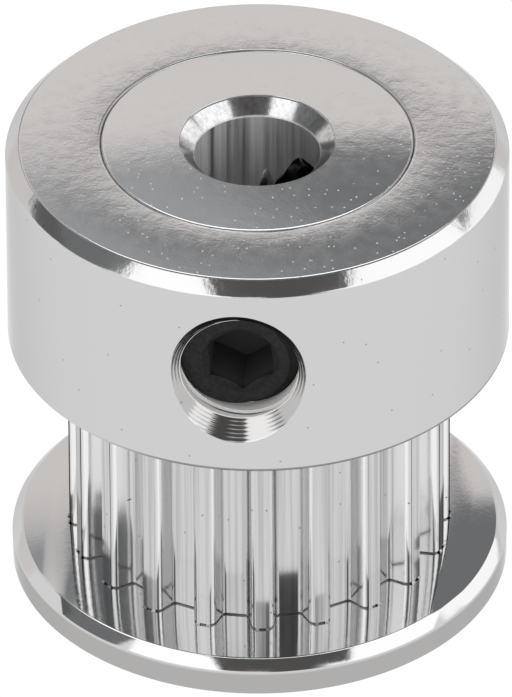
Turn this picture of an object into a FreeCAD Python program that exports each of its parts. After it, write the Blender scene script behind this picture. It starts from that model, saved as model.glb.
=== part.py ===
import FreeCAD, Part
import math
import os
import Sketcher
from FreeCAD import Placement, Rotation, Vector

# A small timing belt pulley for a 2 mm pitch belt, held on its shaft by two set screws.
#
# The pulley comes apart into five pieces. A toothed core carries the belt and the bore. A hub
# collar is pressed over the core's upper spigot, and an end flange over its lower spigot. Two
# headless set screws run in tapped holes that pass through the collar and the core into the bore.
#
# Millimetres. Z is the bore's axis, pointing from the end flange to the hub. The origin is at
# the middle of the end flange's outer face, so the pulley stands on the XY plane.

DIMENSIONS = {
    # the whole pulley
    "overall_height": 16.0,
    "bore_radius": 2.0,
    "bore_chamfer": 0.5,
    "edge_break": 0.04,
    # the belt's track: 20 grooves at 2 mm pitch, on a tip circle of the standard size
    "tooth_count": 20,
    "tip_radius": 6.11,
    "groove_depth": 0.75,
    "groove_mouth": 1.26,
    "groove_floor": 0.8,
    "groove_root_radius": 0.16,
    "tooth_tip_radius": 0.27,
    "groove_overrun": 0.6,
    # the hub collar
    "hub_radius": 8.0,
    "hub_length": 7.2,
    "hub_seat_radius": 4.97,
    "hub_top_chamfer": 0.45,
    "hub_bottom_chamfer": 0.08,
    # the end flange: a flat disc whose upper edge slopes down to the side wall
    "flange_radius": 7.95,
    "flange_thickness": 1.2,
    "flange_seat_radius": 4.9,
    "flange_flat_radius": 7.62,
    "flange_wall_height": 0.86,
    "flange_bottom_break": 0.05,
    # an M4 coarse thread, and the gap that lets the screw turn in its hole
    "thread_pitch": 0.7,
    "thread_major_radius": 2.0,
    "thread_crest_half": 0.7 / 16,
    "thread_flank_slope": math.tan(math.radians(30)),
    "thread_gap": 0.04,
    "tap_minor_radius": 1.621,
    "screw_minor_radius": 1.571,
    "thread_sink": 0.09,
    # the tapped holes, measured along each screw's axis from the pulley's axis
    "screw_height": 12.4,
    "tap_inner_end": 0.85,
    "tap_turns": 12,
    "countersink_radius": 2.44,
    "countersink_overrun": 0.3,
    "countersink_depth": 0.94,
    "counterbore_radius": 1.87,
    "counterbore_inner_end": 6.6,
    # a set screw with a cup point and a hexagon socket
    "screw_tip": 2.95,
    "screw_length": 4.0,
    "screw_turns": 9,
    "groove_overshoot": 0.03,
    "screw_tip_chamfer": 0.95,
    "screw_face_chamfer": 0.1,
    "socket_across_flats": 2.0,
    "socket_depth": 1.9,
    "socket_entry_radius": 1.22,
    "cup_radius": 0.85,
    "cup_depth": 0.5,
    "overrun": 0.5,
}

# the first tooth's middle, from +X towards +Y, in degrees
FIRST_TOOTH_ANGLE = 5.5
# which way each set screw points out of the hub, in degrees from +X towards +Y
SCREW_DIRECTIONS = {"front": 270.0, "rear": 30.0}
# the socket's corners lie level, a little turned on the second screw, as they come to rest
SOCKET_TURN = {"front": 4.0, "rear": 22.0}

document = FreeCAD.newDocument("timing_belt_pulley")
sheet = document.addObject("Spreadsheet::Sheet", "dimensions")
for row, (alias, size) in enumerate(DIMENSIONS.items(), start=1):
    sheet.set(f"A{row}", alias)
    sheet.set(f"B{row}", repr(size))
    sheet.setAlias(f"B{row}", alias)
document.recompute()

TOP = "dimensions.overall_height"
HUB_BOTTOM = "(dimensions.overall_height - dimensions.hub_length)"
FLANGE_TOP = "dimensions.flange_thickness"
CREST_HALF = "dimensions.thread_crest_half"
SCREW_FACE = "(dimensions.screw_tip + dimensions.screw_length)"
SCREW_CREST = "(dimensions.thread_major_radius - dimensions.thread_gap)"


def value(expression):
    """The number that an expression of the sheet's cells gives."""
    found = sheet.evalExpression(expression)
    return float(getattr(found, "Value", found))


def bind(thing, **expressions):
    """Binds a document object's properties to expressions of the sheet's cells."""
    for name, expression in expressions.items():
        thing.setExpression(name, expression)
    return thing


def add(kind, name, **expressions):
    """A new object outside any body, with its sizes bound to the sheet."""
    return bind(document.addObject(kind, name), **expressions)


# ---- sketches -------------------------------------------------------------------------------


def origin_plane(body, role):
    return next(f for f in body.Origin.OriginFeatures if f.Role == role)


def new_sketch(owner, name, role="XY_Plane", height=None):
    """A sketch on one of a body's own planes, at a height."""
    sketch = owner.newObject("Sketcher::SketchObject", name)
    sketch.AttachmentSupport = (origin_plane(owner, role), "")
    sketch.MapMode = "FlatFace"
    if height:
        sketch.setExpression("AttachmentOffset.Base.z", height)
    return sketch


def constrain(sketch, *constraint, expression):
    """Adds a driving constraint whose size is an expression."""
    number = sketch.addConstraint(Sketcher.Constraint(*constraint, value(expression)))
    sketch.setExpression(f"Constraints[{number}]", expression)


def draw_polygon(sketch, corners):
    """A closed outline through corners that are each given as two expressions."""
    points = [Vector(value(x), value(y), 0) for x, y in corners]
    for start, end in zip(points, points[1:] + points[:1]):
        sketch.addGeometry(Part.LineSegment(start, end), False)
    for side in range(len(points)):
        after = (side + 1) % len(points)
        sketch.addConstraint(Sketcher.Constraint("Coincident", side, 2, after, 1))
    for side, (x, y) in enumerate(corners):
        constrain(sketch, "DistanceX", -1, 1, side, 1, expression=x)
        constrain(sketch, "DistanceY", -1, 1, side, 1, expression=y)


def draw_circle(sketch, radius):
    """A circle about the origin."""
    circle = Part.Circle(Vector(), Vector(0, 0, 1), value(radius))
    number = sketch.addGeometry(circle, False)
    sketch.addConstraint(Sketcher.Constraint("Coincident", number, 3, -1, 1))
    constrain(sketch, "Radius", number, expression=radius)


# ---- features of a body ---------------------------------------------------------------------


def pad(body, name, radii, bottom, length):
    """A disc, or a ring when two radii are given, that stands at a height in a body."""
    sketch = new_sketch(body, name + "_outline", height=bottom)
    for radius in radii:
        draw_circle(sketch, radius)
    feature = body.newObject("PartDesign::Pad", name)
    feature.Profile = sketch
    bind(feature, Length=length)
    document.recompute()
    return feature


def edges_where(feature, wanted):
    """The names of a feature's edges that a test picks out."""
    edges = feature.Shape.Edges
    return [f"Edge{number}" for number, edge in enumerate(edges, start=1) if wanted(edge)]


def circles_at(feature, radius, height):
    """The names of a feature's level circles of one radius at one height."""

    def wanted(edge):
        curve = edge.Curve
        return (
            isinstance(curve, Part.Circle)
            and math.isclose(curve.Radius, value(radius), abs_tol=1e-6)
            and math.isclose(curve.Center.z, value(height), abs_tol=1e-6)
        )

    return edges_where(feature, wanted)


def dress(body, kind, name, base, edges, **expressions):
    """A chamfer or a fillet on some edges of a body's feature."""
    if not edges:
        raise RuntimeError(f"{name}: no edge matches")
    feature = body.newObject(kind, name)
    feature.Base = (base, edges)
    bind(feature, **expressions)
    document.recompute()
    return feature


def chamfer_circle(body, name, base, radius, height, size):
    edges = circles_at(base, radius, height)
    return dress(body, "PartDesign::Chamfer", name, base, edges, Size=size)


# ---- the toothed core -----------------------------------------------------------------------


def upright_edges_at(feature, radius):
    """The names of a feature's vertical edges at one distance from the axis, on the track."""

    def wanted(edge):
        start, end = edge.Vertexes[0].Point, edge.Vertexes[-1].Point
        upright = abs(start.z - end.z) > 1 and math.hypot(start.x - end.x, start.y - end.y) < 1e-6
        return upright and abs(math.hypot(start.x, start.y) - radius) < 0.01

    return edges_where(feature, wanted)


def toothed_blank():
    """The core before its set-screw holes are tapped."""
    body = document.addObject("PartDesign::Body", "core_blank")
    track_length = f"{HUB_BOTTOM} - {FLANGE_TOP}"
    pad(body, "track", ["dimensions.tip_radius"], FLANGE_TOP, track_length)

    groove = new_sketch(body, "groove_outline", height=FLANGE_TOP)
    floor = "dimensions.tip_radius - dimensions.groove_depth"
    # the walls go on past the tip circle at the same slope
    rate = "(dimensions.groove_mouth - dimensions.groove_floor) / 2 / dimensions.groove_depth"
    outside = "dimensions.tip_radius + dimensions.groove_overrun"
    half_outside = f"(dimensions.groove_mouth / 2 + {rate} * dimensions.groove_overrun)"
    half_floor = "dimensions.groove_floor / 2"
    draw_polygon(
        groove,
        [
            (floor, f"-{half_floor}"),
            (outside, f"-{half_outside}"),
            (outside, half_outside),
            (floor, half_floor),
        ],
    )
    half_pitch = 180 / value("dimensions.tooth_count")
    turn = Rotation(Vector(0, 0, 1), FIRST_TOOTH_ANGLE + half_pitch)
    groove.AttachmentOffset = Placement(Vector(), turn)
    groove.setExpression("AttachmentOffset.Base.z", FLANGE_TOP)
    cut = body.newObject("PartDesign::Pocket", "groove")
    cut.Profile = groove
    cut.Reversed = True
    bind(cut, Length=track_length)
    document.recompute()

    grooves = body.newObject("PartDesign::PolarPattern", "grooves")
    grooves.Originals = [cut]
    grooves.Axis = (origin_axis(body), [""])
    grooves.Angle = 360
    bind(grooves, Occurrences="dimensions.tooth_count")
    body.Tip = grooves
    document.recompute()

    floor_corner = math.hypot(value(floor), value(half_floor))
    roots = dress(
        body,
        "PartDesign::Fillet",
        "groove_roots",
        grooves,
        upright_edges_at(grooves, floor_corner),
        Radius="dimensions.groove_root_radius",
    )
    tips = dress(
        body,
        "PartDesign::Fillet",
        "tooth_tips",
        roots,
        upright_edges_at(roots, value("dimensions.tip_radius")),
        Radius="dimensions.tooth_tip_radius",
    )
    body.Tip = tips

    pad(body, "hub_spigot", ["dimensions.hub_seat_radius"], HUB_BOTTOM, "dimensions.hub_length")
    pad(body, "flange_spigot", ["dimensions.flange_seat_radius"], "0", FLANGE_TOP)

    bore_outline = new_sketch(body, "bore_outline")
    draw_circle(bore_outline, "dimensions.bore_radius")
    bore = body.newObject("PartDesign::Pocket", "bore")
    bore.Profile = bore_outline
    bore.Reversed = True
    bind(bore, Length=TOP)
    document.recompute()

    seat = "dimensions.hub_seat_radius"
    made = chamfer_circle(
        body, "bore_top", bore, "dimensions.bore_radius", TOP, "dimensions.bore_chamfer"
    )
    made = chamfer_circle(
        body, "bore_bottom", made, "dimensions.bore_radius", "0", "dimensions.bore_chamfer"
    )
    made = chamfer_circle(body, "hub_spigot_break", made, seat, TOP, "dimensions.edge_break")
    made = chamfer_circle(
        body,
        "flange_spigot_break",
        made,
        "dimensions.flange_seat_radius",
        "0",
        "dimensions.edge_break",
    )
    body.Tip = made
    return body


def origin_axis(body):
    return next(f for f in body.Origin.OriginFeatures if f.Role == "Z_Axis")


# ---- the pressed rings ----------------------------------------------------------------------


def collar_blank():
    """The hub collar before its set-screw holes are tapped."""
    body = document.addObject("PartDesign::Body", "collar_blank")
    outer, inner = "dimensions.hub_radius", "dimensions.hub_seat_radius"
    ring = pad(body, "collar_ring", [outer, inner], HUB_BOTTOM, "dimensions.hub_length")
    top = chamfer_circle(body, "hub_top_edge", ring, outer, TOP, "dimensions.hub_top_chamfer")
    bottom = chamfer_circle(
        body, "hub_bottom_edge", top, outer, HUB_BOTTOM, "dimensions.hub_bottom_chamfer"
    )
    body.Tip = chamfer_circle(
        body, "collar_seat_break", bottom, inner, TOP, "dimensions.edge_break"
    )
    return body


def end_flange():
    """A turned disc with a sloped upper edge, pressed on the core's lower spigot."""
    body = document.addObject("PartDesign::Body", "end_flange")
    profile = new_sketch(body, "flange_section", role="XZ_Plane")
    seat, rim = "dimensions.flange_seat_radius", "dimensions.flange_radius"
    small, tiny = "dimensions.flange_bottom_break", "dimensions.edge_break"
    draw_polygon(
        profile,
        [
            (f"{seat} + {tiny}", "0"),
            (f"{rim} - {small}", "0"),
            (rim, small),
            (rim, "dimensions.flange_wall_height"),
            ("dimensions.flange_flat_radius", FLANGE_TOP),
            (seat, FLANGE_TOP),
            (seat, tiny),
        ],
    )
    turned = body.newObject("PartDesign::Revolution", "flange_turning")
    turned.Profile = profile
    turned.ReferenceAxis = (profile, ["V_Axis"])
    turned.Angle = 360
    document.recompute()
    body.Tip = turned
    return body


# ---- threads and set screws -----------------------------------------------------------------


def along_screw(which, distance):
    """A place on a screw's axis, with +Z pointing out of the hub. Distances start at the bore's axis."""
    outward = Rotation(Vector(0, 0, 1), SCREW_DIRECTIONS[which]) * Rotation(Vector(0, 1, 0), 90)
    axis = Placement(Vector(0, 0, value("dimensions.screw_height")), outward)
    return axis * Placement(Vector(0, 0, value(distance)), Rotation())


def round_tool(kind, name, which, distance, **sizes):
    """A cylinder, cone or prism on a screw's axis."""
    tool = add(kind, name, **sizes)
    tool.Placement = along_screw(which, distance)
    return tool


def helical_tool(name, which, distance, turns, inner, outer, half_width):
    """What a tap or a die takes away: a 60 degree section that winds along a screw's axis."""
    spine = add(
        "Part::Helix",
        name + "_helix",
        Pitch="dimensions.thread_pitch",
        Height=f"dimensions.thread_pitch * ({turns})",
        Radius=outer,
    )
    # one unbroken edge, so that the thread's flanks are single faces
    spine.SegmentLength = 0
    spine.Placement = along_screw(which, distance)
    section = document.addObject("Sketcher::SketchObject", name + "_section")
    upright = Placement(Vector(), Rotation(Vector(1, 0, 0), 90))
    section.Placement = along_screw(which, distance) * upright
    draw_polygon(
        section,
        [
            (inner, f"-({half_width(inner)})"),
            (outer, f"-({half_width(outer)})"),
            (outer, half_width(outer)),
            (inner, half_width(inner)),
        ],
    )
    tool = document.addObject("Part::Sweep", name)
    tool.Sections = [section]
    tool.Spine = spine
    tool.Solid = True
    tool.Frenet = True
    document.recompute()
    return tool


def ridge_half_width(radius):
    """Half the axial width of a full thread ridge at a radius."""
    depth = f"(dimensions.thread_major_radius - ({radius}))"
    return f"{CREST_HALF} + {depth} * dimensions.thread_flank_slope"


def groove_half_width(radius):
    """Half the width between two ridges at a radius, with the gap that the screw turns in."""
    gap = "dimensions.thread_gap / cos(30 deg)"
    return f"dimensions.thread_pitch / 2 - ({ridge_half_width(radius)}) + {gap}"


def cut(name, base, tool):
    """Cuts a tool from an object, and makes sure that it took something away."""
    made = document.addObject("Part::Cut", name)
    made.Base = base
    made.Tool = tool
    made.Refine = False
    document.recompute()
    removed = base.Shape.Volume - made.Shape.Volume
    print(f"{name}: {tool.Name} takes {removed:.3f} mm3")
    if removed < 0.01:
        raise RuntimeError(f"{name}: {tool.Name} cuts nothing")
    return made


def cut_all(name, blank, tools):
    """Cuts a blank with each tool in turn. The last cut has the sub-part's name."""
    for number, tool in enumerate(tools, start=1):
        step = name if number == len(tools) else f"{name}_cut_{number}"
        blank = cut(step, blank, tool)
    return blank


def tap_tools(which):
    """The thread and the drilled hole of one screw. The thread is cut first, over the hole's place."""
    start, turns = "dimensions.tap_inner_end", "dimensions.tap_turns"
    minor, major = "dimensions.tap_minor_radius", "dimensions.thread_major_radius"
    inner = f"{minor} - dimensions.thread_sink"
    thread = helical_tool(f"{which}_tap", which, start, turns, inner, major, ridge_half_width)
    length = f"{turns} * dimensions.thread_pitch"
    drill = round_tool(
        "Part::Cylinder", f"{which}_drill", which, start, Radius=minor, Height=length
    )
    return [thread, drill]


def countersink_tool(which):
    """The 90 degree cone that opens a tapped hole's mouth."""
    depth, overrun = "dimensions.countersink_depth", "dimensions.countersink_overrun"
    return round_tool(
        "Part::Cone",
        f"{which}_countersink",
        which,
        f"dimensions.hub_radius - {depth}",
        Radius1=f"dimensions.countersink_radius - {depth}",
        Radius2=f"dimensions.countersink_radius + {overrun}",
        Height=f"{depth} + {overrun}",
    )


def counterbore_tool(which):
    """A short bore that trims the thread's crests in the mouth of a tapped hole, above the screw."""
    start = "dimensions.counterbore_inner_end"
    return round_tool(
        "Part::Cylinder",
        f"{which}_counterbore",
        which,
        start,
        Radius="dimensions.counterbore_radius",
        Height=f"dimensions.hub_radius - {start} + dimensions.countersink_overrun",
    )


def pointed_rod(which):
    """A plain rod of the thread's outside diameter, with its inner end chamfered."""
    rod = round_tool(
        "Part::Cylinder",
        f"{which}_rod",
        which,
        "dimensions.screw_tip",
        Radius=SCREW_CREST,
        Height="dimensions.screw_length",
    )
    document.recompute()
    tip = along_screw(which, "dimensions.screw_tip").Base
    size = value("dimensions.screw_tip_chamfer")
    pointed = document.addObject("Part::Chamfer", f"{which}_pointed_rod")
    pointed.Base = rod
    pointed.Edges = [
        (number, size, size)
        for number, edge in enumerate(rod.Shape.Edges, start=1)
        if isinstance(edge.Curve, Part.Circle) and edge.Curve.Center.distanceToPoint(tip) < 1e-6
    ]
    document.recompute()
    return pointed


def threaded_rod(which):
    """The pointed rod with its thread, and its outer end tapered back."""
    # half a pitch from the tapped hole's ridge, so that the screw is in mesh
    before = "dimensions.screw_tip - 1.5 * dimensions.thread_pitch"
    die = helical_tool(
        f"{which}_die",
        which,
        before,
        "dimensions.screw_turns",
        "dimensions.screw_minor_radius",
        f"{SCREW_CREST} + dimensions.groove_overshoot",
        groove_half_width,
    )
    length = "dimensions.screw_length + dimensions.overrun"
    narrow = f"({SCREW_CREST} - dimensions.screw_face_chamfer)"
    taper = round_tool(
        "Part::Cone",
        f"{which}_face_taper",
        which,
        f"{SCREW_FACE} - ({length})",
        Radius1=f"{narrow} + {length}",
        Radius2=narrow,
        Height=length,
    )
    made = document.addObject("Part::Common", f"{which}_threaded_rod")
    made.Base = cut(f"{which}_rod_with_thread", pointed_rod(which), die)
    made.Tool = taper
    made.Refine = False
    document.recompute()
    return made


def set_screw(which):
    """A headless screw: thread, cup point at its inner end, hexagon socket in its face."""
    hexagon = round_tool(
        "Part::Prism",
        f"{which}_hexagon",
        which,
        f"{SCREW_FACE} - dimensions.socket_depth",
        Circumradius="dimensions.socket_across_flats / sqrt(3)",
        Height="dimensions.socket_depth + dimensions.overrun",
    )
    hexagon.Polygon = 6
    turn = Placement(Vector(), Rotation(Vector(0, 0, 1), SOCKET_TURN[which]))
    hexagon.Placement = hexagon.Placement * turn
    entry = round_tool(
        "Part::Cone",
        f"{which}_socket_entry",
        which,
        f"{SCREW_FACE} - dimensions.overrun",
        Radius1="dimensions.socket_entry_radius - dimensions.overrun",
        Radius2="dimensions.socket_entry_radius + dimensions.overrun",
        Height="2 * dimensions.overrun",
    )
    cup = round_tool(
        "Part::Cone",
        f"{which}_cup",
        which,
        "dimensions.screw_tip",
        Radius1="dimensions.cup_radius",
        Radius2="0 mm",
        Height="dimensions.cup_depth",
    )
    document.recompute()
    return cut_all(f"set_screw_{which}", threaded_rod(which), [hexagon, entry, cup])


# ---- assembly -------------------------------------------------------------------------------

taps = [tool for which in SCREW_DIRECTIONS for tool in tap_tools(which)]
countersinks = [countersink_tool(which) for which in SCREW_DIRECTIONS]
counterbores = [counterbore_tool(which) for which in SCREW_DIRECTIONS]
document.recompute()
subparts = {
    "toothed_core": cut_all("toothed_core", toothed_blank(), taps),
    "hub_collar": cut_all("hub_collar", collar_blank(), countersinks + taps + counterbores),
    "end_flange": end_flange(),
    "set_screw_front": set_screw("front"),
    "set_screw_rear": set_screw("rear"),
}

# ---- checks and files -----------------------------------------------------------------------

for item in document.Objects:
    if {"Invalid", "Error"} & set(item.State):
        raise RuntimeError(f"{item.Name} failed: {item.State}")

os.makedirs("parts", exist_ok=True)
for node, subpart in subparts.items():
    subpart.Label = node
    shape = subpart.Shape
    if shape.isNull() or not shape.isValid() or len(shape.Solids) != 1:
        raise RuntimeError(f"{node} isn't one valid solid")
    shape.exportStep(f"parts/{node}.step")
    box = shape.BoundBox
    print(f"{node}: {shape.Volume:.3f} mm3, {box.XMin:.2f} {box.XMax:.2f} {box.ZMin:.2f} {box.ZMax:.2f}")
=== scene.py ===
"""The looks of a small timing belt pulley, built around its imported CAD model.

Metres, +Z along the bore from the end flange to the hub. The front set screw points along -Y.
Every CAD node is replaced by a finer mesh of the same shape.
"""

import math

import bmesh
import bpy
import numpy as np
from mathutils import Matrix, Vector


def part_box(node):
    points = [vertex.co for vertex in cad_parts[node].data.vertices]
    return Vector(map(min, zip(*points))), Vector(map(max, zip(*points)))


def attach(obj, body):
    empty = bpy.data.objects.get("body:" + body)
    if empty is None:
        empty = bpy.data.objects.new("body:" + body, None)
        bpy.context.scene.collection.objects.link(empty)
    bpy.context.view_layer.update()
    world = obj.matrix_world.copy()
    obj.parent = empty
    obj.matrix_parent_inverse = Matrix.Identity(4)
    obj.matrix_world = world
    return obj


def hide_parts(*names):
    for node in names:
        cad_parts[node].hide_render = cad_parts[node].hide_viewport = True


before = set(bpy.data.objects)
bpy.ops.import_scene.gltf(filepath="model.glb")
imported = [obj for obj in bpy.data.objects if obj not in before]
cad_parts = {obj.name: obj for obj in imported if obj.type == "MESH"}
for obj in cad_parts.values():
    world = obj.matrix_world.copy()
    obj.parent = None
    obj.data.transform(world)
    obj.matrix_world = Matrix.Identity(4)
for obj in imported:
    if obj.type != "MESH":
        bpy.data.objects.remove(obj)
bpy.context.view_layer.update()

MM = 0.001
# points around the pulley's own round shapes, around the holes' and screws', and around a thread
SEGMENTS = 720
HOLE_SEGMENTS = 240
THREAD_SEGMENTS = 120
# edges sharper than this, in degrees, stay sharp
SMOOTH_ANGLE = 28

# ---- sizes ----------------------------------------------------------------------------------

# the hub, the flange and the track, from the frame
collar_low, collar_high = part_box("hub_collar")
flange_low, flange_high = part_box("end_flange")
TOP = collar_high.z
HUB_BOTTOM = collar_low.z
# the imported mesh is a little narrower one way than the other
HUB_RADIUS = min(-collar_low.x, -collar_low.y, collar_high.x, collar_high.y)
FLANGE_TOP = flange_high.z
FLANGE_RADIUS = min(-flange_low.x, -flange_low.y, flange_high.x, flange_high.y)

# the rest, as the CAD model has them
BORE_RADIUS = 2.0 * MM
BORE_CHAMFER = 0.5 * MM
HUB_SEAT = 4.97 * MM
FLANGE_SEAT = 4.9 * MM
EDGE_BREAK = 0.04 * MM
EDGE_ROUND = EDGE_BREAK / 3
SEAM_ROUND = 0.11 * MM
RIM_ROUND = 0.06 * MM
HUB_TOP_CHAMFER = 0.45 * MM
HUB_BOTTOM_CHAMFER = 0.08 * MM
FLANGE_FLAT_RADIUS = 7.62 * MM
FLANGE_WALL_HEIGHT = 0.86 * MM
FLANGE_BOTTOM_BREAK = 0.05 * MM
FLANGE_EDGE_ROUND = 0.1 * MM

TOOTH_COUNT = 20
FIRST_TOOTH_ANGLE = math.radians(5.5)
TIP_RADIUS = 6.11 * MM
GROOVE_DEPTH = 0.75 * MM
GROOVE_MOUTH = 1.26 * MM
GROOVE_FLOOR = 0.8 * MM
GROOVE_ROOT_ROUND = 0.16 * MM
TOOTH_TIP_ROUND = 0.27 * MM
TOOTH_END_BREAK = 0.06 * MM

THREAD_PITCH = 0.7 * MM
TAP_START = 0.85 * MM
TAP_TURNS, SCREW_TURNS = 13, 10
TAP_MINOR, TAP_MAJOR = 1.621 * MM, 2.0 * MM
# half the width of the tapped groove, at the minor and the major radius
TAP_HALF_WIDTHS = 0.2626 * MM, 0.0437 * MM
SCREW_MINOR, SCREW_MAJOR = 1.571 * MM, 1.96 * MM
SCREW_HALF_WIDTHS = 0.2452 * MM, 0.0206 * MM
SCREW_HEIGHT = 12.4 * MM
SCREW_DIRECTIONS = {"front": math.radians(270), "rear": math.radians(30)}
SOCKET_TURNS = {"front": math.radians(4), "rear": math.radians(22)}
SCREW_TIP = 2.95 * MM
SCREW_LENGTH = 4.0 * MM
SCREW_FACE = SCREW_TIP + SCREW_LENGTH
SCREW_TIP_CHAMFER = 0.95 * MM
SCREW_FACE_CHAMFER = 0.1 * MM
SOCKET_FLATS = 2.0 * MM
SOCKET_DEPTH = 1.9 * MM
SOCKET_ENTRY = 1.22 * MM
CUP_RADIUS = 0.85 * MM
CUP_DEPTH = 0.5 * MM
COUNTERSINK_RADIUS = 2.44 * MM
COUNTERSINK_RIDGES = 15
RIDGE_PITCH = 0.092 * MM
RIDGE_HEIGHT = 0.0014 * MM
COUNTERBORE_RADIUS = 1.87 * MM
COUNTERBORE_START = 6.6 * MM
# how far a cutting tool reaches past what it cuts
PAST = 0.3 * MM

# ---- meshes ---------------------------------------------------------------------------------


def add_object(name, mesh):
    """An object in the scene."""
    piece = bpy.data.objects.new(name, mesh)
    bpy.context.scene.collection.objects.link(piece)
    return piece


def mesh_object(name, points, faces):
    """An object with a closed mesh. Points that fall together are joined."""
    mesh = bpy.data.meshes.new(name)
    mesh.from_pydata([tuple(p) for p in points], [], faces)
    shape = bmesh.new()
    shape.from_mesh(mesh)
    bmesh.ops.remove_doubles(shape, verts=shape.verts, dist=1e-8)
    open_edges = [edge for edge in shape.edges if edge.is_boundary]
    cap_loops(shape, open_edges)
    bmesh.ops.recalc_face_normals(shape, faces=shape.faces)
    shape.to_mesh(mesh)
    shape.free()
    return add_object(name, mesh)


def cap_loops(shape, open_edges):
    """Closes each open loop of a mesh with a fan of triangles about its middle."""
    waiting = set(open_edges)
    while waiting:
        loop = [waiting.pop()]
        corners = set(loop[0].verts)
        growing = True
        while growing:
            joined = {edge for edge in waiting if corners & set(edge.verts)}
            growing = bool(joined)
            waiting -= joined
            loop += joined
            for edge in joined:
                corners |= set(edge.verts)
        places = [corner.co for corner in corners]
        middle = shape.verts.new(sum(places, Vector()) / len(places))
        for edge in loop:
            shape.faces.new((edge.verts[0], edge.verts[1], middle))


def rounded(corners, steps=5):
    """A closed outline whose corners, each (x, y, radius), are rounded with arcs."""
    outline = []
    for number, (x, y, radius) in enumerate(corners):
        corner = Vector((x, y))
        if radius == 0:
            outline.append(corner)
            continue
        before = Vector(corners[number - 1][:2]) - corner
        after = Vector(corners[(number + 1) % len(corners)][:2]) - corner
        before.normalize()
        after.normalize()
        half = before.angle(after) / 2
        reach = radius / math.tan(half)
        centre = corner + (before + after).normalized() * (radius / math.sin(half))
        start = corner + before * reach - centre
        end = corner + after * reach - centre
        sweep = start.angle_signed(end)
        for step in range(steps + 1):
            turn = Matrix.Rotation(-sweep * step / steps, 2)
            outline.append(centre + turn @ start)
    return outline


def lathe(name, outline, segments=SEGMENTS):
    """A solid turned about Z from a closed outline of (radius, height) points."""
    outline = np.array([tuple(point) for point in outline])
    angles = np.arange(segments) * 2 * math.pi / segments
    radius, height = outline[:, 0], outline[:, 1]
    points = np.stack(
        [
            np.outer(np.cos(angles), radius),
            np.outer(np.sin(angles), radius),
            np.broadcast_to(height, (segments, len(height))),
        ],
        axis=-1,
    ).reshape(-1, 3)
    count = len(outline)
    faces = [
        (
            here * count + level,
            (here + 1) % segments * count + level,
            (here + 1) % segments * count + (level + 1) % count,
            here * count + (level + 1) % count,
        )
        for here in range(segments)
        for level in range(count)
    ]
    return mesh_object(name, points, faces)


def helical_rod(name, radii, half_widths, start, turns):
    """A rod along Z with a right-hand thread. Its rows follow the thread, so that the crests are clean."""
    minor, major = radii
    root, crest = half_widths
    turn_profile = [(-root, minor), (-crest, major), (crest, major), (root, minor)]
    rows = [
        (turn * THREAD_PITCH + offset, radius)
        for turn in range(turns)
        for offset, radius in turn_profile
    ]
    per_turn = len(turn_profile)
    points = [
        (
            radius * math.cos(2 * math.pi * here / THREAD_SEGMENTS),
            radius * math.sin(2 * math.pi * here / THREAD_SEGMENTS),
            start + along + THREAD_PITCH * here / THREAD_SEGMENTS,
        )
        for here in range(THREAD_SEGMENTS)
        for along, radius in rows
    ]
    count = len(rows)
    faces = []
    for here in range(THREAD_SEGMENTS):
        last = here == THREAD_SEGMENTS - 1
        shift = per_turn if last else 0
        after = 0 if last else here + 1
        for level in range(count - 1 - shift):
            faces.append(
                (
                    here * count + level,
                    after * count + level + shift,
                    after * count + level + shift + 1,
                    here * count + level + 1,
                )
            )
    return mesh_object(name, points, faces)


def prism(name, outline, levels):
    """An upright solid. Each level is (height, inset): the outline is drawn in by the inset there."""
    outline = np.array([tuple(point) for point in outline])
    sides = np.roll(outline, -1, axis=0) - np.roll(outline, 1, axis=0)
    outward = np.stack([sides[:, 1], -sides[:, 0]], axis=1)
    outward /= np.linalg.norm(outward, axis=1)[:, None]
    count = len(outline)
    points = [
        (x, y, height)
        for height, inset in levels
        for x, y in outline - outward * inset
    ]
    faces = [
        (
            level * count + here,
            level * count + (here + 1) % count,
            (level + 1) * count + (here + 1) % count,
            (level + 1) * count + here,
        )
        for level in range(len(levels) - 1)
        for here in range(count)
    ]
    return mesh_object(name, points, faces)


def combine(base, tool, operation):
    """Adds, takes away or intersects a tool. The tool is used up."""
    step = base.modifiers.new("combine", "BOOLEAN")
    step.operation = operation
    step.solver = "MANIFOLD"
    step.object = tool
    graph = bpy.context.evaluated_depsgraph_get()
    made = bpy.data.meshes.new_from_object(base.evaluated_get(graph))
    base.modifiers.clear()
    base.data = made
    bpy.data.objects.remove(tool)
    return base


def finish_piece(piece, body, nodes, material):
    """Smooths a piece between its edges, gives it its material and ties it to the frame."""
    mesh = piece.data
    mesh.materials.clear()
    mesh.materials.append(material)
    mesh.shade_smooth()
    mesh.set_sharp_from_angle(angle=math.radians(SMOOTH_ANGLE))
    normals = piece.modifiers.new("flat faces keep their shading", "WEIGHTED_NORMAL")
    normals.keep_sharp = True
    normals.weight = 60
    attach(piece, body)
    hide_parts(*nodes)


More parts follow.
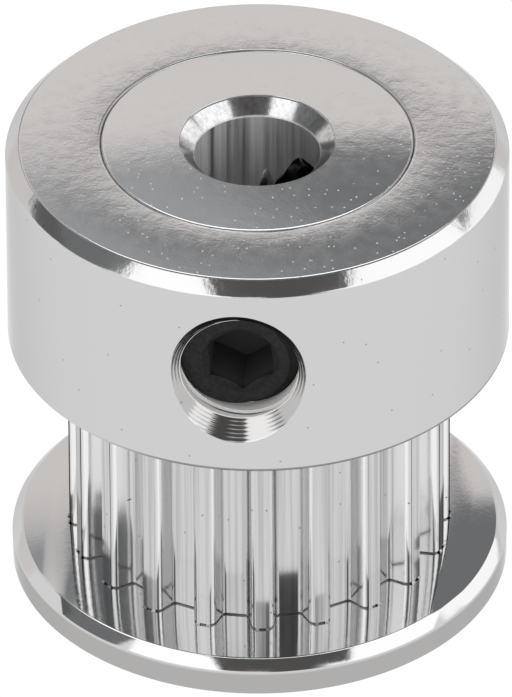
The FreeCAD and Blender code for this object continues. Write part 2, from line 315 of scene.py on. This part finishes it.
def tooth_outline():
    """The toothed track seen along its axis: straight-sided grooves with rounded corners."""
    pitch = 2 * math.pi / TOOTH_COUNT
    floor_radius = TIP_RADIUS - GROOVE_DEPTH
    mouth_angle = math.asin(GROOVE_MOUTH / 2 / TIP_RADIUS)
    crest_steps = 6
    corners = []
    for tooth in range(TOOTH_COUNT):
        middle = FIRST_TOOTH_ANGLE + tooth * pitch
        half_crest = pitch / 2 - mouth_angle
        for step in range(crest_steps + 1):
            angle = middle + half_crest * (2 * step / crest_steps - 1)
            at_corner = step in (0, crest_steps)
            corners.append(
                (
                    TIP_RADIUS * math.cos(angle),
                    TIP_RADIUS * math.sin(angle),
                    TOOTH_TIP_ROUND if at_corner else 0,
                )
            )
        groove = middle + pitch / 2
        for side in (-1, 1):
            across = side * GROOVE_FLOOR / 2
            corners.append(
                (
                    floor_radius * math.cos(groove) - across * math.sin(groove),
                    floor_radius * math.sin(groove) + across * math.cos(groove),
                    GROOVE_ROOT_ROUND,
                )
            )
    return rounded(corners, steps=6)


def on_screw_axis(piece, which):
    """Turns a piece made along Z onto a set screw's axis, with +Z pointing out of the hub."""
    direction = SCREW_DIRECTIONS[which]
    outward = Vector((math.cos(direction), math.sin(direction), 0))
    down = Vector((0, 0, -1))
    place = Matrix((down, outward.cross(down), outward)).transposed().to_4x4()
    place.translation = (0, 0, SCREW_HEIGHT)
    piece.data.transform(place)
    return piece


def tapped_hole(which):
    """What tapping one hole takes away, from the bore out to the hub's side."""
    radii = TAP_MINOR, TAP_MAJOR
    thread = helical_rod(f"{which}_tap", radii, TAP_HALF_WIDTHS, TAP_START, TAP_TURNS)
    return on_screw_axis(thread, which)


def countersink(which):
    """The 90 degree mouth of a tapped hole, with the fine ridges that its cutter left."""
    steps = 8
    outer = HUB_RADIUS + 0.35 * MM
    inner = outer - COUNTERSINK_RIDGES * RIDGE_PITCH
    outline = [(0, outer), (0, inner)]
    for number in range(COUNTERSINK_RIDGES * steps + 1):
        along = inner + number * RIDGE_PITCH / steps
        wave = RIDGE_HEIGHT * math.sin(2 * math.pi * number / steps)
        outline.append((COUNTERSINK_RADIUS + along - HUB_RADIUS + wave, along - wave))
    return on_screw_axis(lathe(f"{which}_countersink", outline, HOLE_SEGMENTS), which)


def counterbore(which):
    """What trims the thread's crests in the mouth of a tapped hole, above the screw."""
    bore = [(0, COUNTERBORE_START), (COUNTERBORE_RADIUS, COUNTERBORE_START)]
    bore += [(COUNTERBORE_RADIUS, HUB_RADIUS + PAST), (0, HUB_RADIUS + PAST)]
    return on_screw_axis(lathe(f"{which}_counterbore", bore, HOLE_SEGMENTS), which)


def toothed_core():
    """The belt's track with a spigot at each end, bored and tapped."""
    levels = [
        (FLANGE_TOP, TOOTH_END_BREAK),
        (FLANGE_TOP + TOOTH_END_BREAK, 0),
        (HUB_BOTTOM, 0),
    ]
    core = prism("pulley_core", tooth_outline(), levels)
    spigots = [
        (0, 0, 0),
        (FLANGE_SEAT - EDGE_BREAK, 0, EDGE_ROUND),
        (FLANGE_SEAT, EDGE_BREAK, EDGE_ROUND),
        (FLANGE_SEAT, FLANGE_TOP + GROOVE_DEPTH, 0),
        (HUB_SEAT, HUB_BOTTOM - GROOVE_DEPTH, 0),
        (HUB_SEAT, TOP, SEAM_ROUND),
        (0, TOP, 0),
    ]
    core = combine(core, lathe("spigots", rounded(spigots)), "UNION")
    mouth = BORE_RADIUS + BORE_CHAMFER
    edge = 0.03 * MM
    bore = [
        (0, -PAST, 0),
        (mouth + PAST, -PAST, 0),
        (BORE_RADIUS, BORE_CHAMFER, edge),
        (BORE_RADIUS, TOP - BORE_CHAMFER, edge),
        (mouth + PAST, TOP + PAST, 0),
        (0, TOP + PAST, 0),
    ]
    core = combine(core, lathe("bore", rounded(bore)), "DIFFERENCE")
    for which in SCREW_DIRECTIONS:
        core = combine(core, tapped_hole(which), "DIFFERENCE")
    return core


def hub_collar():
    """The hub's ring, with its chamfered rim and its two countersunk, tapped holes."""
    ring = [
        (HUB_SEAT, HUB_BOTTOM, 0),
        (HUB_RADIUS - HUB_BOTTOM_CHAMFER, HUB_BOTTOM, EDGE_ROUND),
        (HUB_RADIUS, HUB_BOTTOM + HUB_BOTTOM_CHAMFER, EDGE_ROUND),
        (HUB_RADIUS, TOP - HUB_TOP_CHAMFER, RIM_ROUND),
        (HUB_RADIUS - HUB_TOP_CHAMFER, TOP, RIM_ROUND),
        (HUB_SEAT, TOP, SEAM_ROUND),
    ]
    collar = lathe("hub_ring", rounded(ring))
    for which in SCREW_DIRECTIONS:
        collar = combine(collar, countersink(which), "DIFFERENCE")
        collar = combine(collar, tapped_hole(which), "DIFFERENCE")
        collar = combine(collar, counterbore(which), "DIFFERENCE")
    return collar


def end_flange():
    """The end flange, whose upper edge slopes down to the side wall."""
    disc = [
        (FLANGE_SEAT + EDGE_BREAK, 0, EDGE_ROUND),
        (FLANGE_RADIUS - FLANGE_BOTTOM_BREAK, 0, EDGE_ROUND),
        (FLANGE_RADIUS, FLANGE_BOTTOM_BREAK, EDGE_ROUND),
        (FLANGE_RADIUS, FLANGE_WALL_HEIGHT, FLANGE_EDGE_ROUND),
        (FLANGE_FLAT_RADIUS, FLANGE_TOP, FLANGE_EDGE_ROUND),
        (FLANGE_SEAT, FLANGE_TOP, 0),
        (FLANGE_SEAT, EDGE_BREAK, EDGE_ROUND),
    ]
    return lathe("flange_disc", rounded(disc))


def set_screw(which):
    """A headless screw with a cup point and a hexagon socket."""
    radii = SCREW_MINOR, SCREW_MAJOR
    start = TAP_START + THREAD_PITCH
    screw = helical_rod(f"grub_screw_{which}", radii, SCREW_HALF_WIDTHS, start, SCREW_TURNS)
    slack = 0.05 * MM
    tip_edge, face_edge, socket_edge = 0.04 * MM, 0.03 * MM, 0.03 * MM
    envelope = [
        (0, SCREW_TIP, 0),
        (SCREW_MAJOR - SCREW_TIP_CHAMFER, SCREW_TIP, tip_edge),
        (SCREW_MAJOR + slack, SCREW_TIP + SCREW_TIP_CHAMFER + slack, 0),
        (SCREW_MAJOR + slack, SCREW_FACE - SCREW_FACE_CHAMFER - slack, 0),
        (SCREW_MAJOR - SCREW_FACE_CHAMFER, SCREW_FACE, face_edge),
        (0, SCREW_FACE, 0),
    ]
    screw = combine(screw, lathe("envelope", rounded(envelope), HOLE_SEGMENTS), "INTERSECT")
    corner = SOCKET_FLATS / math.sqrt(3)
    hexagon = [
        (
            corner * math.cos(math.pi / 3 * side + SOCKET_TURNS[which]),
            corner * math.sin(math.pi / 3 * side + SOCKET_TURNS[which]),
            socket_edge,
        )
        for side in range(6)
    ]
    levels = [(SCREW_FACE - SOCKET_DEPTH, 0), (SCREW_FACE + PAST, 0)]
    screw = combine(screw, prism("hexagon", rounded(hexagon), levels), "DIFFERENCE")
    # the cone that breaks the socket's corners, at 45 degrees to the face
    reach = 0.5 * MM
    entry = [
        (0, SCREW_FACE - reach),
        (SOCKET_ENTRY - reach, SCREW_FACE - reach),
        (SOCKET_ENTRY + reach, SCREW_FACE + reach),
        (0, SCREW_FACE + reach),
    ]
    screw = combine(screw, lathe("socket_entry", entry, HOLE_SEGMENTS), "DIFFERENCE")
    cup = [
        (0, SCREW_TIP - reach),
        (CUP_RADIUS * 2, SCREW_TIP - CUP_DEPTH),
        (0, SCREW_TIP + CUP_DEPTH),
    ]
    screw = combine(screw, lathe("cup", cup, HOLE_SEGMENTS), "DIFFERENCE")
    return on_screw_axis(screw, which)


# ---- materials ------------------------------------------------------------------------------

# how far the shading leans outward, as a slope, where the mesh is flat: on the end face, and on the
# flange to both sides of the front screw
FACE_CONE = 0.07
FLANGE_CONE = 0.08
# the end face's look comes in between these depths below it
FACE_STARTS, FACE_FULL = 0.04 * MM, 0.01 * MM

# colours of the bare metal, of the marks on it, and of the painted light and shade on it
FACE_METAL = (0.66, 0.66, 0.66)
SIDE_METAL = (0.605, 0.605, 0.605)
MOUTH_METAL = (0.5, 0.49, 0.485)
# painted highlight in the tapped holes' throats
THROAT_PAINTED_HIGHLIGHT = (0.9, 0.89, 0.88)
STREAK_DARK = (0.48, 0.48, 0.485)
STREAK_LIGHT = (0.61, 0.61, 0.615)
# painted light on the grooves' sides
GROOVE_SIDE_PAINTED_LIGHT = (0.84, 0.84, 0.84)
# painted shade on the flange's side wall
FLANGE_WALL_PAINTED_SHADE = (0.42, 0.415, 0.41)
FLANGE_FACE_METAL = (0.62, 0.62, 0.62)
# the hub side's pits, and its painted shade line along the bottom edge
HUB_MARKS_AND_SHADE = (0.26, 0.26, 0.26)
# the teeth's pits, and the painted shade line at their foot
CORE_MARKS_AND_SHADE = (0.14, 0.13, 0.13)
OXIDE_DARK = (0.018, 0.0175, 0.0175)
OXIDE_LIGHT = (0.028, 0.027, 0.027)
# painted light below the screws' faces
OXIDE_PAINTED_LIGHT = (0.055, 0.053, 0.053)


class Number:
    """A number that flows through a node tree, so that a formula reads as a formula."""

    def __init__(self, tree, socket):
        self.tree = tree
        self.socket = socket

    def math(self, operation, *others):
        """The result of a Math node, whose first input is this number."""
        node = self.tree.nodes.new("ShaderNodeMath")
        node.operation = operation
        for slot, item in zip(node.inputs, (self, *others)):
            if isinstance(item, Number):
                self.tree.links.new(item.socket, slot)
            else:
                slot.default_value = item
        return Number(self.tree, node.outputs[0])

    def __add__(self, other):
        return self.math("ADD", other)

    def __sub__(self, other):
        return self.math("SUBTRACT", other)

    def __mul__(self, other):
        return self.math("MULTIPLY", other)

    def rise(self, low, high):
        """0 below low, 1 above high, and smooth between them."""
        node = self.tree.nodes.new("ShaderNodeMapRange")
        node.interpolation_type = "SMOOTHSTEP"
        self.tree.links.new(self.socket, node.inputs["Value"])
        node.inputs["From Min"].default_value = low
        node.inputs["From Max"].default_value = high
        return Number(self.tree, node.outputs["Result"])

    def scaled(self, low, high):
        """0 to 1 spread over low to high."""
        return self * (high - low) + low


def new_tree(material):
    """A material's node tree, emptied."""
    material.use_nodes = True
    material.node_tree.nodes.clear()
    return material.node_tree


def position(tree):
    """The place on the object, in metres, as three numbers."""
    where = tree.nodes.new("ShaderNodeTexCoord")
    split = tree.nodes.new("ShaderNodeSeparateXYZ")
    tree.links.new(where.outputs["Object"], split.inputs[0])
    return [Number(tree, output) for output in split.outputs]


def join(tree, x, y, z):
    """A vector's socket, from three numbers."""
    node = tree.nodes.new("ShaderNodeCombineXYZ")
    for item, slot in zip((x, y, z), node.inputs):
        if isinstance(item, Number):
            tree.links.new(item.socket, slot)
        else:
            slot.default_value = item
    return node.outputs[0]


def noise(tree, vector, scale, detail, roughness=0.5):
    """Noise from 0 to 1, mostly near 0.5. On a place in metres the scale is in lumps per metre."""
    node = tree.nodes.new("ShaderNodeTexNoise")
    node.inputs["Scale"].default_value = scale
    node.inputs["Detail"].default_value = detail
    node.inputs["Roughness"].default_value = roughness
    tree.links.new(vector, node.inputs["Vector"])
    return Number(tree, node.outputs["Fac"])


def around(x, y):
    """The distance from the Z axis and the angle about it."""
    radius = (x * x + y * y).math("SQRT")
    angle = y.math("ARCTAN2", x)
    return radius, angle


def bump(tree, height, distance=1.0):
    """The normal of a surface with a relief. The height is in metres unless a distance scales it."""
    node = tree.nodes.new("ShaderNodeBump")
    node.inputs["Strength"].default_value = 1.0
    node.inputs["Distance"].default_value = distance
    tree.links.new(height.socket, node.inputs["Height"])
    return node.outputs["Normal"]


def tint(tree, share, dark, light):
    """A colour between two, by a share from 0 to 1."""
    node = tree.nodes.new("ShaderNodeMix")
    node.data_type = "RGBA"
    tree.links.new(share.socket, node.inputs["Factor"])
    node.inputs[6].default_value = (*dark, 1)
    node.inputs[7].default_value = (*light, 1)
    return node.outputs[2]


def blend(tree, share, colour, other):
    """A colour's socket where the share is 0, and another colour where it is 1."""
    node = tree.nodes.new("ShaderNodeMix")
    node.data_type = "RGBA"
    tree.links.new(share.socket, node.inputs["Factor"])
    tree.links.new(colour, node.inputs[6])
    node.inputs[7].default_value = (*other, 1)
    return node.outputs[2]


def metal(tree, colour, roughness, normal, metallic=None):
    """A metal shader and the output. Where metallic is given, it makes parts of the surface duller."""
    shader = tree.nodes.new("ShaderNodeBsdfPrincipled")
    output = tree.nodes.new("ShaderNodeOutputMaterial")
    shader.inputs["Metallic"].default_value = 1.0
    shader.inputs["Specular Tint"].default_value = (0.75, 0.75, 0.75, 1)
    tree.links.new(colour, shader.inputs["Base Color"])
    tree.links.new(roughness.socket, shader.inputs["Roughness"])
    tree.links.new(normal, shader.inputs["Normal"])
    if metallic:
        tree.links.new(metallic.socket, shader.inputs["Metallic"])
    tree.links.new(shader.outputs[0], output.inputs["Surface"])


def end_face(tree, place, x, y, radius, angle):
    """The relief, in metres, and the shine of a turned end face: grain, chatter marks and specks."""
    grain = noise(tree, place, 9000, detail=3)
    mottle = noise(tree, place, 2200, detail=3)
    rings = noise(tree, join(tree, radius * 14000, angle * 3.0, 0), 1.0, detail=2)
    chatter = noise(tree, join(tree, radius * 700, angle * 45.0, 0), 1.0, detail=2)
    clusters = noise(tree, place, 420, detail=1).rise(0.45, 0.6)
    speck = pits(tree, x, y, 0.55 * MM, 0.033 * MM) * clusters
    relief = grain * (0.0024 * MM) + mottle * (0.0026 * MM) + rings * (0.001 * MM)
    relief = relief + chatter * mottle.rise(0.4, 0.65) * (0.0016 * MM)
    relief = relief + speck * (0.012 * MM) - radius * FACE_CONE
    shine = (grain * 0.3 + mottle * 0.7).rise(0.3, 0.7)
    return relief, shine


def in_mouths(x, y, z, radius):
    """Two numbers: 1 in the tapped holes' mouths, and 1 on the short bore inside them, else 0."""
    mouths = throats = None
    below_side = radius.rise(HUB_RADIUS - 0.01 * MM, HUB_RADIUS - 0.03 * MM)
    for direction in SCREW_DIRECTIONS.values():
        across = y * math.cos(direction) - x * math.sin(direction)
        ahead = x * math.cos(direction) + y * math.sin(direction)
        height = z - SCREW_HEIGHT
        off = (across * across + height * height).math("SQRT")
        near_hole = off.rise(2.6 * MM, 2.5 * MM)
        on_its_side = ahead.rise(5 * MM, 6 * MM)
        mouth = near_hole * on_its_side * below_side
        throat = off.rise(COUNTERBORE_RADIUS + 0.03 * MM, COUNTERBORE_RADIUS + 0.01 * MM) * mouth
        mouths = mouth if mouths is None else mouths.math("MAXIMUM", mouth)
        throats = throat if throats is None else throats.math("MAXIMUM", throat)
    return mouths, throats


def pits(tree, across, along, spacing, size):
    """1 in small pits of a size and a spacing in metres, 0 elsewhere."""
    cells = tree.nodes.new("ShaderNodeTexVoronoi")
    cells.voronoi_dimensions = "2D"
    cells.inputs["Scale"].default_value = 1 / spacing
    tree.links.new(join(tree, across, along, 0), cells.inputs["Vector"])
    share = size / spacing
    return Number(tree, cells.outputs["Distance"]).rise(share, 0.3 * share)


def turned_aluminium(name):
    """The hub: grain and turning lines on the end face, a wavy chamfer, and a smooth side."""
    material = bpy.data.materials.new(name)
    tree = new_tree(material)
    x, y, z = position(tree)
    radius, angle = around(x, y)
    place = join(tree, x, y, z)
    on_face = z.rise(TOP - FACE_STARTS, TOP - FACE_FULL)
    elsewhere = on_face * -1 + 1
    relief, shine = end_face(tree, place, x, y, radius, angle)
    side_lines = noise(tree, join(tree, angle * 1.2, z * 12000, 0), 1.0, detail=1)
    relief = relief * on_face + side_lines * elsewhere * (0.0002 * MM)
    # the rim's chamfer is slightly wavy and nicked
    rim_foot = TOP - HUB_TOP_CHAMFER
    on_rim = z.rise(rim_foot - 0.02 * MM, rim_foot + 0.05 * MM) * elsewhere
    waves = noise(tree, place, 1100, detail=4, roughness=0.6)
    relief = relief + waves * on_rim * (0.014 * MM)
    in_mouth, in_throat = in_mouths(x, y, z, radius)
    roughness = shine.scaled(0.1, 0.18) * on_face + elsewhere * 0.12 + in_throat * 0.4
    # a painted shade line along the bottom edge, on one side only: a dark line where shade falls at the
    # edge
    at_edge = z.rise(HUB_BOTTOM + 0.16 * MM, HUB_BOTTOM + 0.12 * MM)
    line_middle = -0.9
    line_ends, line_full = 1.4, 0.9
    off_middle = (angle - line_middle).math("ABSOLUTE")
    painted_shade_line = at_edge * off_middle.rise(line_ends, line_full)
    on_side = radius.rise(HUB_RADIUS - 0.2 * MM, HUB_RADIUS - 0.1 * MM) * elsewhere
    pitted = pits(tree, angle * HUB_RADIUS, z, 2.2 * MM, 0.04 * MM) * on_side
    # the marks join the side's pits and the painted shade line
    marks = pitted.math("MAXIMUM", painted_shade_line)
    plain = tint(tree, on_face, SIDE_METAL, FACE_METAL)
    plain = blend(tree, in_mouth, plain, MOUTH_METAL)
    # painted highlight: the tapped throat is coloured pale and made mostly non-metal, so that it shows
    # bright
    plain = blend(tree, in_throat, plain, THROAT_PAINTED_HIGHLIGHT)
    colour = blend(tree, marks, plain, HUB_MARKS_AND_SHADE)
    metal(tree, colour, roughness, bump(tree, relief), in_throat * -0.9 + 1)
    return material


def hobbed_aluminium():
    """The core: turned on its end face, streaked upright on the teeth, and dull in the bore."""
    material = bpy.data.materials.new("turned and hobbed aluminium")
    tree = new_tree(material)
    x, y, z = position(tree)
    radius, angle = around(x, y)
    place = join(tree, x, y, z)
    on_face = z.rise(TOP - FACE_STARTS, TOP - FACE_FULL)
    elsewhere = on_face * -1 + 1
    in_bore = radius.rise(BORE_RADIUS + 0.06 * MM, BORE_RADIUS + 0.01 * MM)
    relief, shine = end_face(tree, place, x, y, radius, angle)
    streaks = noise(tree, join(tree, x * 9000, y * 9000, z * 90), 1.0, detail=3)
    broad = noise(tree, join(tree, x * 1800, y * 1800, z * 60), 1.0, detail=2)
    relief = relief * on_face + streaks * elsewhere * (0.0015 * MM)
    # a painted shade line at the foot of the teeth, where they meet the flange
    below_line = z.rise(FLANGE_TOP + 0.08 * MM, FLANGE_TOP + 0.03 * MM)
    above_seat = z.rise(FLANGE_TOP - 0.02 * MM, FLANGE_TOP - 0.01 * MM)
    painted_shade_at_foot = below_line * above_seat * broad.scaled(0.25, 0.8)
    roughness = shine.scaled(0.1, 0.18) * on_face + elsewhere * 0.14
    roughness = roughness + in_bore * 0.2 + painted_shade_at_foot * 0.4
    # the bore's wall is dull and paler in streaks, and much paler on one side, a painted light: there it
    # is made far less metallic
    painted_light_side = x.rise(1.3 * MM, -0.2 * MM) * broad.rise(0.35, 0.6)
    dull = in_bore * (painted_light_side * 0.75 + streaks.rise(0.4, 0.7) * 0.1 + 0.08)
    streaked = tint(tree, streaks.rise(0.3, 0.6), STREAK_DARK, STREAK_LIGHT)
    # painted light: the grooves' sides are coloured brighter than their floors and the lands
    above_floors = radius.rise(5.4 * MM, 5.5 * MM)
    below_lands = radius.rise(6.08 * MM, 6.0 * MM)
    plain = blend(tree, above_floors * below_lands * elsewhere, streaked, GROOVE_SIDE_PAINTED_LIGHT)
    plain = blend(tree, on_face, plain, FACE_METAL)
    on_teeth = radius.rise(5.2 * MM, 5.3 * MM) * elsewhere
    pitted = pits(tree, angle * TIP_RADIUS, z, 1.8 * MM, 0.04 * MM) * on_teeth
    colour = blend(tree, pitted.math("MAXIMUM", painted_shade_at_foot), plain, CORE_MARKS_AND_SHADE)
    metal(tree, colour, roughness, bump(tree, relief), dull * -1 + 1)
    return material


def polished_aluminium():
    """The end flange: polished above, with a faint grain, and painted darker on its side wall, a painted
    shade.
    """
    material = bpy.data.materials.new("polished aluminium")
    tree = new_tree(material)
    x, y, z = position(tree)
    radius, angle = around(x, y)
    grain = noise(tree, join(tree, x, y, z), 8000, detail=3)
    rings = noise(tree, join(tree, radius * 12000, angle * 2.0, 0), 1.0, detail=2)
    at_sides = x.math("ABSOLUTE").rise(5.8 * MM, 6.8 * MM)
    lean = (radius - 6.2 * MM) * at_sides * FLANGE_CONE
    relief = grain * (0.0006 * MM) + rings * (0.0005 * MM) - lean
    # painted shade: the side wall is coloured darker, for the shade on the floor that it mirrors
    above_wall = z.rise(FLANGE_WALL_HEIGHT - 0.12 * MM, FLANGE_WALL_HEIGHT)
    colour = tint(tree, above_wall, FLANGE_WALL_PAINTED_SHADE, FLANGE_FACE_METAL)
    metal(tree, colour, grain.rise(0.3, 0.7).scaled(0.05, 0.09), bump(tree, relief))
    return material


def black_oxide():
    """Blackened steel with a dull satin grain, painted a little paler below the screw's face, a painted
    light in its shaded socket.
    """
    material = bpy.data.materials.new("black oxide steel")
    tree = new_tree(material)
    x, y, z = position(tree)
    place = join(tree, x, y, z)
    grain = noise(tree, place, 7000, detail=3)
    shader = tree.nodes.new("ShaderNodeBsdfPrincipled")
    output = tree.nodes.new("ShaderNodeOutputMaterial")
    shader.inputs["Metallic"].default_value = 0.0
    shader.inputs["Specular IOR Level"].default_value = 0.1
    colour = tint(tree, grain.rise(0.35, 0.65), OXIDE_DARK, OXIDE_LIGHT)
    # these coordinates travel with the screw, whose face lies farthest from the pulley's axis in them
    radius, _ = around(x, y)
    below_face = radius.rise(SCREW_FACE - 0.05 * MM, SCREW_FACE - 0.4 * MM)
    # painted light: below the face, in the socket and on the thread, the colour is paler
    colour = blend(tree, below_face, colour, OXIDE_PAINTED_LIGHT)
    tree.links.new(colour, shader.inputs["Base Color"])
    tree.links.new(grain.rise(0.3, 0.7).scaled(0.45, 0.6).socket, shader.inputs["Roughness"])
    tree.links.new(bump(tree, grain, distance=0.003 * MM), shader.inputs["Normal"])
    tree.links.new(shader.outputs[0], output.inputs["Surface"])
    return material


# ---- the pulley -----------------------------------------------------------------------------

finish_piece(
    toothed_core(), "pulley", ["toothed_core"], hobbed_aluminium()
)
finish_piece(
    hub_collar(),
    "pulley",
    ["hub_collar"],
    turned_aluminium("turned aluminium"),
)
finish_piece(
    end_flange(), "pulley", ["end_flange"], polished_aluminium()
)
screw_material = black_oxide()
for which in SCREW_DIRECTIONS:
    finish_piece(
        set_screw(which),
        f"screw_{which}",
        [f"set_screw_{which}"],
        screw_material,
    )

# ---- floor, light and camera ----------------------------------------------------------------


def studio_floor():
    """A wide pale disc just under the pulley. It gives off its own light, so that it comes out white."""
    radius, drop, brightness = 3.0, 0.02 * MM, 1.02
    sides = 96
    rim = [
        (
            radius * math.cos(2 * math.pi * side / sides),
            radius * math.sin(2 * math.pi * side / sides),
            -drop,
        )
        for side in range(sides)
    ]
    mesh = bpy.data.meshes.new("studio_floor")
    mesh.from_pydata(rim, [], [tuple(range(sides))])
    floor = add_object("studio_floor", mesh)
    material = bpy.data.materials.new("pale floor")
    tree = new_tree(material)
    shader = tree.nodes.new("ShaderNodeEmission")
    output = tree.nodes.new("ShaderNodeOutputMaterial")
    shader.inputs["Color"].default_value = (1, 1, 1, 1)
    shader.inputs["Strength"].default_value = brightness
    tree.links.new(shader.outputs[0], output.inputs["Surface"])
    mesh.materials.append(material)


def unit(azimuth, elevation):
    """A direction. The azimuth runs from +X towards +Y, and both are in degrees."""
    azimuth, elevation = math.radians(azimuth), math.radians(elevation)
    level = math.cos(elevation)
    return Vector((level * math.cos(azimuth), level * math.sin(azimuth), math.sin(elevation)))


WHITE = (1.0, 1.0, 1.0)
WARM = (1.0, 0.95, 0.93)
COOL = (0.97, 1.0, 1.03)
# Cards and lamps around the pulley: the name, the azimuth and elevation of the middle, the width, the
# height, how soft the edge is and the roll, all in degrees, then the brightness and the hue. A later
# card covers an earlier one.
CARDS = [
    ("back_wall", 95, 0, 120, 78, 5, 0, 0.92, WARM),
    ("back_sky", 95, 67.2, 150, 60, 2.5, 16, 0.23, COOL),
    ("left_sky", 125, 68, 42, 60, 12, 0, 0.45, COOL),
    ("zenith_lamp", 95, 82, 70, 40, 6, 0, 2.2, WHITE),
    ("left_lamp", 236, 43, 40, 34, 3, 0, 1.65, WHITE),
    ("right_lamp", 348, 42, 56, 44, 4, 0, 1.6, WHITE),
    ("low_lamp", 32, 14, 34, 22, 3, 0, 1.5, WHITE),
    ("camera_high", 288, 60, 46, 26, 3, 0, 0.12, WARM),
    ("camera_low", 291, 40, 20, 26, 8, 0, 0.12, WARM),
    ("left_card", 166, 24, 22, 12, 3, 0, 0.15, WHITE),
]
# the tent between the cards
SURROUND = (1.0, 1.0, 1.0)


def studio_light():
    """A pale tent with lamps and dark cards, as a function of direction."""
    world = bpy.data.worlds.new("studio")
    bpy.context.scene.world = world
    world.use_nodes = True
    tree = world.node_tree
    tree.nodes.clear()
    where = tree.nodes.new("ShaderNodeTexCoord")
    colour = None
    for name, azimuth, elevation, width, height, soft, roll, level, hue in CARDS:
        middle = unit(azimuth, elevation)
        right = unit(azimuth - 90, 0)
        up = right.cross(-middle)
        turn = Matrix.Rotation(math.radians(roll), 3, middle)
        mask = None
        for axis, size in ((turn @ right, width), (turn @ up, height)):
            across = dot(tree, where.outputs["Generated"], axis)
            ahead = dot(tree, where.outputs["Generated"], middle)
            off = across.math("ARCTAN2", ahead).math("ABSOLUTE")
            half, fade = math.radians(size / 2), math.radians(soft / 2)
            inside = off.rise(half + fade, half - fade)
            mask = inside if mask is None else mask * inside
        mix = tree.nodes.new("ShaderNodeMix")
        mix.label = name
        mix.data_type = "RGBA"
        tree.links.new(mask.socket, mix.inputs["Factor"])
        if colour is None:
            mix.inputs[6].default_value = (*SURROUND, 1)
        else:
            tree.links.new(colour, mix.inputs[6])
        mix.inputs[7].default_value = (*[level * part for part in hue], 1)
        colour = mix.outputs[2]
    background = tree.nodes.new("ShaderNodeBackground")
    output = tree.nodes.new("ShaderNodeOutputWorld")
    tree.links.new(colour, background.inputs["Color"])
    tree.links.new(background.outputs[0], output.inputs["Surface"])


def dot(tree, vector, axis):
    """A vector's length along an axis."""
    node = tree.nodes.new("ShaderNodeVectorMath")
    node.operation = "DOT_PRODUCT"
    tree.links.new(vector, node.inputs[0])
    node.inputs[1].default_value = axis
    return Number(tree, node.outputs["Value"])


def studio_camera():
    """A long lens that looks down on the pulley from the front."""
    azimuth, elevation = 270 + 4.8, 35.9
    distance = 0.6
    roll = math.radians(-0.37)
    towards = unit(azimuth, elevation)
    right = unit(azimuth + 90, 0)
    up = towards.cross(right)
    aim_height, aim_left = 6.36 * MM, 0.08 * MM
    target = up * aim_height - right * aim_left
    data = bpy.data.cameras.new("camera")
    data.sensor_fit = "AUTO"
    data.sensor_width = 36
    data.lens = 963
    data.clip_start, data.clip_end = 0.01, 10
    camera = bpy.data.objects.new("camera", data)
    bpy.context.scene.collection.objects.link(camera)
    facing = Matrix((right, up, towards)).transposed()
    camera.matrix_world = Matrix.Translation(target + towards * distance) @ (
        facing @ Matrix.Rotation(roll, 3, "Z")
    ).to_4x4()
    bpy.context.scene.camera = camera


studio_floor()
studio_light()
studio_camera()
bpy.context.scene.view_settings.view_transform = "Standard"
